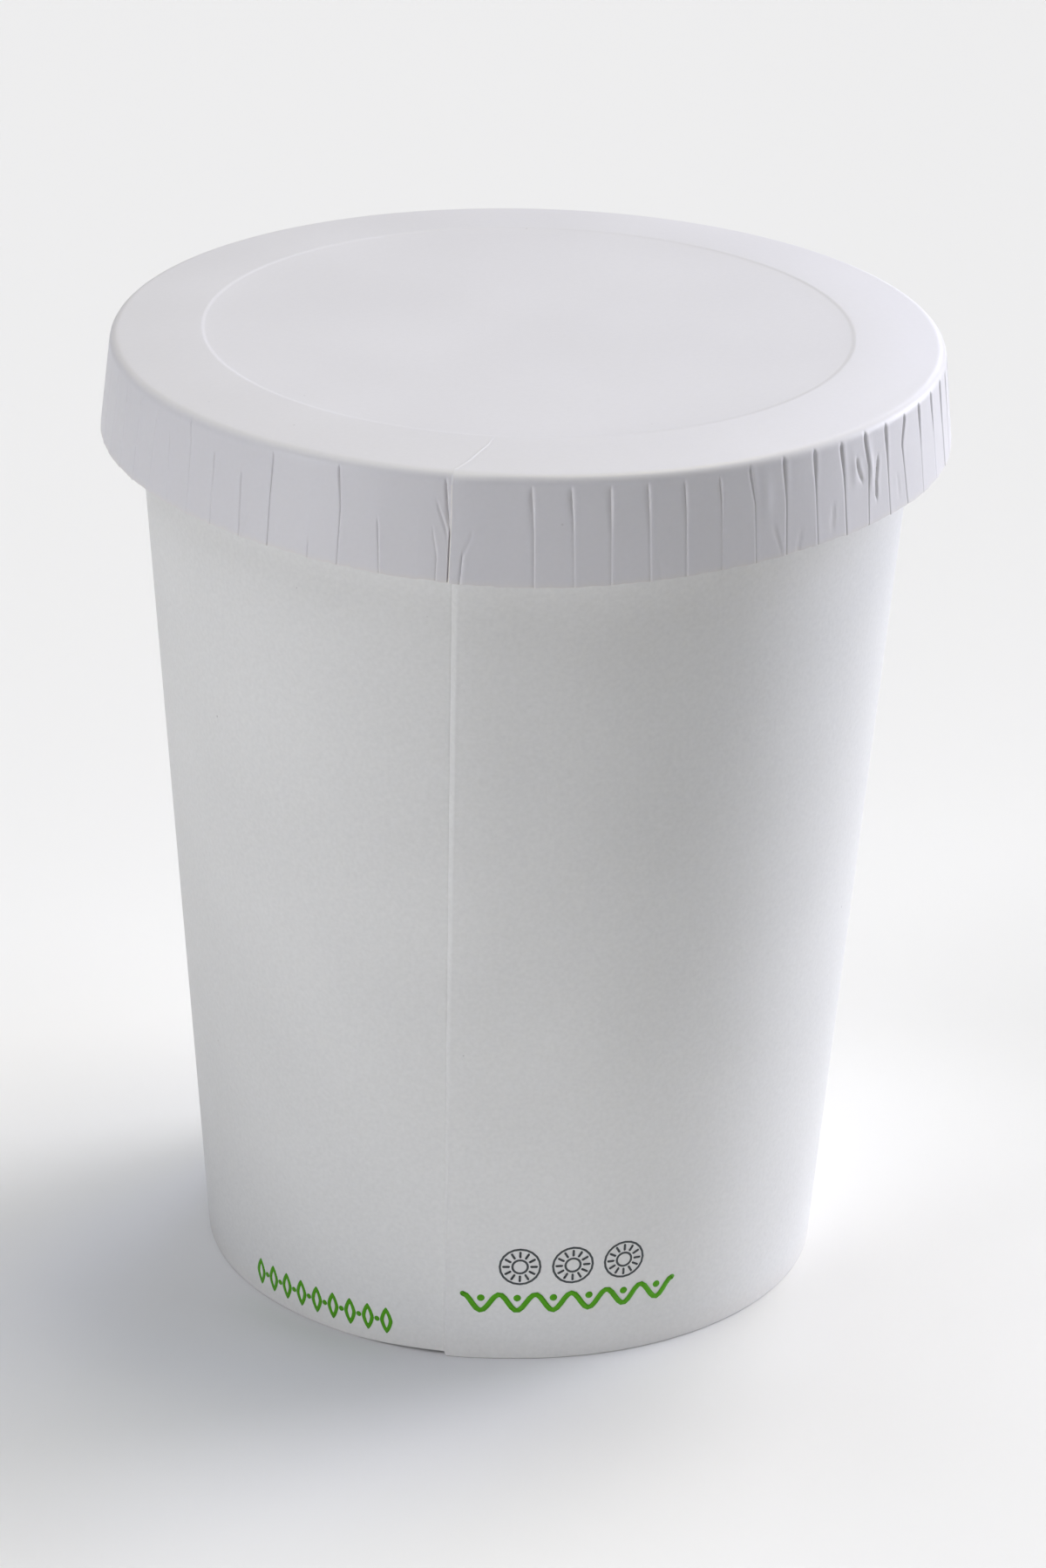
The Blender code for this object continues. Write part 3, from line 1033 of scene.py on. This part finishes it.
def wall_rings():
    """Round the section of the wall: over the roll, down outside, under the foot, up the hem and inside."""
    board = bpy.context.scene.food_tub_cup.board
    around_axis = seam_angle(RIM_TOP) + wall_columns(RIM_TOP)
    curl = curl_middle_line(board)
    rings = [ring(polar(around_axis, *beside(curl, -board / 2)[0]), cut=True)]
    rings += [ring(polar(around_axis, *point)) for point in beside(curl, board / 2)]
    for height in np.linspace(CURL_NECK, FOOT_ROUND, WALL_ROWS + 1):
        wear = ease((height - FOOT_ROUND) / FOOT_WEAR_REACH) * FOOT_WEAR
        rings.append(wall_ring(height, wear=wear))
    for turn in np.linspace(0, math.pi / 2, FOOT_ROUND_STEPS + 1)[1:]:
        inset = FOOT_ROUND * (1 - math.cos(turn))
        rings.append(wall_ring(FOOT_ROUND * (1 - math.sin(turn)), inset, wear=FOOT_ROUND_WEAR))
    for turn in np.linspace(math.pi / 2, 0, FOOT_ROUND_STEPS + 1):
        inset = FOOT_WIDTH - FOOT_ROUND * (1 - math.cos(turn))
        rings.append(wall_ring(FOOT_ROUND * (1 - math.sin(turn)), inset, outside=False, wear=HEM_WEAR))
    for height in np.linspace(FOOT_ROUND, HEM_TOP, HEM_ROWS + 1)[1:]:
        ribs = HEM_RIB_DEPTH * math.sin(math.pi * (height - FOOT_ROUND) / (HEM_TOP - FOOT_ROUND))
        is_last = height > HEM_TOP - MM / 2
        rings.append(wall_ring(height, FOOT_WIDTH, outside=False, cut=is_last, ribs=ribs))
    rings.append(wall_ring(HEM_TOP, FOOT_WIDTH - board, outside=False))
    rings.append(wall_ring(HEM_TOP, board, outside=False))
    for height in np.linspace(RECESS_DEPTH, CURL_NECK, INNER_WALL_ROWS):
        rings.append(wall_ring(height, board, outside=False))
    rings += [ring(polar(around_axis, *point)) for point in beside(curl, -board / 2)[:0:-1]]
    return rings


def make_wall():
    mesh = rings_mesh("cup_wall", wall_rings(), [cup_face_material(), cut_edge_material()], is_tube=True)
    add_piece("cup_wall", mesh, "cup")


def disc_face(angles, reach, radius, height, bend_radius):
    """One face of the disc: a middle raised a little, out to this reach, then the rim's bend down."""
    rings = [pole(height + DISC_SAG)]
    for share in DISC_SHARES:
        rings.append(ring(polar(angles, reach * share, height + DISC_SAG * ease(share))))
    for turn in np.linspace(math.pi / 2, 0, DISC_BEND_STEPS):
        out = radius - bend_radius + bend_radius * math.cos(turn)
        rings.append(ring(polar(angles, out, height - bend_radius + bend_radius * math.sin(turn))))
    return rings


def disc_rings():
    """The bottom disc: a slightly hollow plate whose rim bends down into the hem."""
    board = bpy.context.scene.food_tub_cup.board
    angles = np.arange(DISC_COLUMNS) / DISC_COLUMNS * FULL_TURN
    inside = wall_radius(HEM_TOP) - FOOT_WIDTH + board + GLUE_GAP
    outside = inside + board - 2 * GLUE_GAP
    low = HEM_TOP + GLUE_GAP
    reach = inside - DISC_BEND
    under = disc_face(angles, reach, inside, RECESS_DEPTH, DISC_BEND)
    over = disc_face(angles, reach, outside, RECESS_DEPTH + board, DISC_BEND + board)
    lower_edge = [ring(polar(angles, inside, low)), ring(polar(angles, outside, low))]
    return under + lower_edge + over[::-1]


def make_bottom():
    mesh = rings_mesh("cup_bottom_disc", disc_rings(), [cup_face_material()])
    add_piece("cup_bottom_disc", mesh, "cup")


# Printed marks, drawn in metres along and up the wall, then laid on it


def filled_shape(outline):
    """Points and faces of a shape fanned out from its middle."""
    middle = tuple(sum(axis) / len(outline) for axis in zip(*outline))
    faces = [(0, 1 + place, 1 + (place + 1) % len(outline)) for place in range(len(outline))]
    return [middle] + list(outline), faces


def round_outline(middle, half_width, half_height, power=2.0):
    """A superellipse: round at a power of 2, a lozenge with soft corners nearer 1."""
    points = []
    for step in range(INK_SIDES):
        turn = FULL_TURN * step / INK_SIDES
        across = math.copysign(abs(math.cos(turn)) ** (2 / power), math.cos(turn))
        up = math.copysign(abs(math.sin(turn)) ** (2 / power), math.sin(turn))
        points.append((middle[0] + half_width * across, middle[1] + half_height * up))
    return points


def dot(centre, radius):
    return filled_shape(round_outline(centre, radius, radius))


def closed_band(outer, inner):
    """The band between two closed outlines with as many points."""
    count = len(outer)
    faces = []
    for place in range(count):
        following = (place + 1) % count
        faces.append((place, following, count + following, count + place))
    return list(outer) + list(inner), faces


def stroke_shape(points, width):
    """A line of this width with round ends."""
    left = beside(points, width / 2)
    right = beside(points, -width / 2)
    flat = left + right
    count = len(points)
    faces = [(place, place + 1, count + place + 1, count + place) for place in range(count - 1)]
    for end, side, other in ((0, 0, count), (count - 1, 2 * count - 1, count - 1)):
        middle = Vector(points[end])
        first = Vector(flat[side]) - middle
        cap = [side]
        for turn in np.linspace(0, math.pi, CAP_SIDES + 1)[1:-1]:
            spoke = Matrix.Rotation(turn, 2) @ first
            cap.append(len(flat))
            flat.append(tuple(middle + spoke))
        faces.append(tuple(cap + [other]))
    return flat, faces


def lay_on_wall(name, shapes, middle_angle, material):
    """Flat shapes laid on the wall's outer face as a thin layer of ink."""
    points = []
    faces = []
    for shape_points, shape_faces in shapes:
        faces += [tuple(len(points) + corner for corner in face) for face in shape_faces]
        points += shape_points
    flat = np.array(points)
    height = flat[:, 1]
    angle = middle_angle + flat[:, 0] / wall_radius(height)
    past_seam = (angle - seam_angle(height)) % FULL_TURN
    radius = wall_radius(height) + wall_relief(past_seam, height) + INK_STANDS
    mesh = bpy.data.meshes.new(name)
    mesh.from_pydata(polar(angle, radius, height + foot_lift(past_seam, height)), [], faces)
    mesh.materials.append(material)
    mesh.shade_smooth()
    mesh.validate()
    piece = add_piece(name, mesh)
    layer = piece.modifiers.new("Ink", "SOLIDIFY")
    layer.thickness = INK_STANDS + INK_SUNK
    layer.offset = -1


def span(mark, height):
    """Length along the wall between a mark's two angles, and the angle in their middle."""
    first, last = mark
    return (last - first) * wall_radius(height), (first + last) / 2


def lozenge_row(settings):
    """Outlined lozenges with a dot between each two."""
    length, middle = span(LEFT_MARK, LEFT_MARK_HEIGHT)
    pitch = (length - LOZENGE_WIDTH) / (LOZENGES - 1)
    half_width = LOZENGE_WIDTH / 2
    half_height = LOZENGE_HEIGHT / 2
    inner_width = half_width - settings.stroke
    inner_height = half_height - LOZENGE_TIP_STROKES * settings.stroke
    shapes = []
    for place in range(LOZENGES):
        centre = ((place - (LOZENGES - 1) / 2) * pitch, LEFT_MARK_HEIGHT)
        outer = round_outline(centre, half_width, half_height, LOZENGE_POWER)
        inner = round_outline(centre, inner_width, inner_height, LOZENGE_POWER)
        shapes.append(closed_band(outer, inner))
        if place:
            shapes.append(dot((centre[0] - pitch / 2, centre[1]), DOT_RADIUS))
    return shapes, middle


def wave_line(settings):
    """A wave with a dot in each hollow above it."""
    length, middle = span(RIGHT_MARK, WAVE_HEIGHT)
    count = round(length / INK_STEP)
    points = []
    for step in range(count + 1):
        share = step / count
        height = WAVE_HEIGHT + WAVE_SWING * math.cos(FULL_TURN * WAVE_COUNT * share)
        points.append(((share - 0.5) * length, height))
    shapes = [stroke_shape(points, settings.wave_stroke)]
    for hollow in range(WAVE_COUNT):
        centre = (((hollow + 0.5) / WAVE_COUNT - 0.5) * length, WAVE_DOT_HEIGHT)
        shapes.append(dot(centre, WAVE_DOT_RADIUS))
    return shapes, middle


def ticked_ring(settings):
    """Two rings about one middle, with short ticks between them."""
    centre = (0, RING_HEIGHT)
    half = settings.ring_stroke / 2
    shapes = []
    for radius in RING_RADII:
        outer = round_outline(centre, radius + half, radius + half)
        inner = round_outline(centre, radius - half, radius - half)
        shapes.append(closed_band(outer, inner))
    for tick in range(TICKS):
        turn = FULL_TURN * tick / TICKS
        ends = [(reach * math.cos(turn), RING_HEIGHT + reach * math.sin(turn)) for reach in TICK_ENDS]
        shapes.append(stroke_shape(ends, settings.ring_stroke))
    return shapes


def make_print():
    settings = bpy.context.scene.food_tub_print
    green = finish_material(GREEN_INK, settings.green)
    slate = finish_material(SLATE_INK, settings.slate)
    lay_on_wall("print_lozenges_green", *lozenge_row(settings), green)
    lay_on_wall("print_wave_green", *wave_line(settings), green)
    for place, angle in enumerate(RING_ANGLES):
        lay_on_wall(f"print_ring_slate_{place + 1}", ticked_ring(settings), angle, slate)


# Stage


def floor_material(colour):
    """Plain matt studio paper with painted shade, darker in front and to the left of what the camera sees of
    it.
    """
    material, tree, shader = new_material("studio_floor", colour, 1.0)
    place = add_node(tree, "TexCoord").outputs["Object"]
    along = add_node(tree, "SeparateXYZ", {0: place}).outputs
    outer = compute(tree, "MINIMUM", along[0], along[1])
    ends = {0: outer, 1: FLOOR_SHADE_FULL_FROM, 2: FLOOR_PALE_FROM, 3: FLOOR_SHADE_SHARE, 4: 1.0}
    # Painted shade: the floor's colour falls to a share of itself towards the front and the left
    fade = add_node(tree, "MapRange", ends, interpolation_type="SMOOTHSTEP").outputs[0]
    toned = add_node(tree, "VectorMath", {0: colour, 3: fade}, operation="SCALE").outputs[0]
    tree.links.new(toned, shader.inputs["Base Color"])
    shader.inputs["Specular IOR Level"].default_value = 0
    return material


def make_floor(settings):
    mesh = bpy.data.meshes.new("studio_floor")
    shaped = bmesh.new()
    bmesh.ops.create_grid(shaped, x_segments=1, y_segments=1, size=settings.floor_size / 2)
    shaped.to_mesh(mesh)
    shaped.free()
    mesh.materials.append(floor_material(settings.floor_colour))
    add_object("studio_floor", mesh)


def add_light(light, place, aim):
    """Places a light so that it shines from its place towards its aim."""
    placed = add_object(light.name, light)
    placed.location = place
    placed.rotation_mode = "QUATERNION"
    placed.rotation_quaternion = (place - aim).to_track_quat("Z", "Y")


def add_lamp(lamp, scale):
    """A far lamp of wide spread. Azimuth 0 stands at the camera's side and grows towards +X."""
    light = bpy.data.lights.new(lamp.name, "SUN")
    light.energy = lamp.strength * scale
    light.color = lamp.colour
    light.angle = LAMP_SPREAD
    elevation = math.radians(lamp.elevation)
    place = polar(math.radians(lamp.azimuth), math.cos(elevation), math.sin(elevation))
    add_light(light, Vector(place), Vector((0, 0, 0)))


def add_spot(spot, scale):
    light = bpy.data.lights.new(spot.name, "SPOT")
    light.energy = spot.power * scale
    light.color = spot.colour
    light.spot_size = math.radians(spot.cone)
    light.spot_blend = 1
    light.shadow_soft_size = spot.softness
    place = polar(math.radians(spot.azimuth), spot.distance, spot.height)
    add_light(light, Vector(place), Vector((0, 0, spot.aim_height)))


def make_sky():
    world = bpy.data.worlds.new("studio_sky")
    world.use_nodes = True
    background = world.node_tree.nodes["Background"]
    background.inputs["Color"].default_value = (*SKY_COLOUR, 1)
    background.inputs["Strength"].default_value = SKY_STRENGTH
    bpy.context.scene.world = world


def make_camera():
    """The camera, rolled about its own axis, raised from looking straight down, then turned by its yaw."""
    data = bpy.data.cameras.new("camera")
    data.lens = CAMERA_LENS
    data.sensor_width = CAMERA_SENSOR
    camera = add_object("camera", data)
    turned = Matrix.Rotation(-CAMERA_YAW, 4, "Z") @ Matrix.Rotation(math.pi / 2 - CAMERA_PITCH, 4, "X")
    camera.matrix_world = Matrix.Translation(CAMERA_PLACE) @ turned @ Matrix.Rotation(CAMERA_ROLL, 4, "Z")
    bpy.context.scene.camera = camera


# Operators and panel


class FOODTUB_OT_lid(bpy.types.Operator):
    """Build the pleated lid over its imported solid"""

    bl_idname = "foodtub.make_lid"
    bl_label = "Pleated Lid"

    def execute(self, context):
        make_lid()
        return {"FINISHED"}


class FOODTUB_OT_wall(bpy.types.Operator):
    """Build the cup's lapped wall with its rolled rim and folded foot"""

    bl_idname = "foodtub.make_wall"
    bl_label = "Cup Wall"

    def execute(self, context):
        make_wall()
        return {"FINISHED"}


class FOODTUB_OT_bottom(bpy.types.Operator):
    """Build the disc recessed into the cup's foot"""

    bl_idname = "foodtub.make_bottom"
    bl_label = "Bottom Disc"

    def execute(self, context):
        make_bottom()
        return {"FINISHED"}


class FOODTUB_OT_print(bpy.types.Operator):
    """Lay the green and slate marks on the lower wall"""

    bl_idname = "foodtub.make_print"
    bl_label = "Printed Marks"

    def execute(self, context):
        make_print()
        return {"FINISHED"}


class FOODTUB_OT_stage(bpy.types.Operator):
    """Set up the studio floor, sky, lamps and camera"""

    bl_idname = "foodtub.make_stage"
    bl_label = "Studio Stage"

    def execute(self, context):
        settings = context.scene.food_tub_stage
        make_floor(settings)
        make_sky()
        for lamp in LAMPS:
            add_lamp(lamp, settings.lamp_strength)
        for spot in SPOTS:
            add_spot(spot, settings.lamp_strength)
        make_camera()
        context.scene.view_settings.view_transform = "Standard"
        return {"FINISHED"}


class FOODTUB_PT_panel(bpy.types.Panel):
    """Lists the tub's pieces and their settings"""

    bl_idname = "FOODTUB_PT_panel"
    bl_label = "Food Tub"
    bl_space_type = "VIEW_3D"
    bl_region_type = "UI"
    bl_category = "Food Tub"

    def draw(self, context):
        scene = context.scene
        for operators, settings in (
            ((FOODTUB_OT_lid,), scene.food_tub_lid),
            ((FOODTUB_OT_wall, FOODTUB_OT_bottom), scene.food_tub_cup),
            ((FOODTUB_OT_print,), scene.food_tub_print),
            ((FOODTUB_OT_stage,), scene.food_tub_stage),
        ):
            box = self.layout.box()
            for operator in operators:
                box.operator(operator.bl_idname)
            for name in settings.__annotations__:
                box.prop(settings, name)


SETTINGS = {
    "food_tub_lid": LidSettings,
    "food_tub_cup": CupSettings,
    "food_tub_print": PrintSettings,
    "food_tub_stage": StageSettings,
}
CLASSES = (
    *SETTINGS.values(),
    FOODTUB_OT_lid,
    FOODTUB_OT_wall,
    FOODTUB_OT_bottom,
    FOODTUB_OT_print,
    FOODTUB_OT_stage,
    FOODTUB_PT_panel,
)


def register():
    for each in CLASSES:
        bpy.utils.register_class(each)
    for name, group in SETTINGS.items():
        setattr(bpy.types.Scene, name, PointerProperty(type=group))


def unregister():
    for name in SETTINGS:
        delattr(bpy.types.Scene, name)
    for each in reversed(CLASSES):
        bpy.utils.unregister_class(each)


def main():
    register()
    bpy.ops.foodtub.make_lid()
    bpy.ops.foodtub.make_wall()
    bpy.ops.foodtub.make_bottom()
    bpy.ops.foodtub.make_print()
    bpy.ops.foodtub.make_stage()


if __name__ == "__main__":
    main()
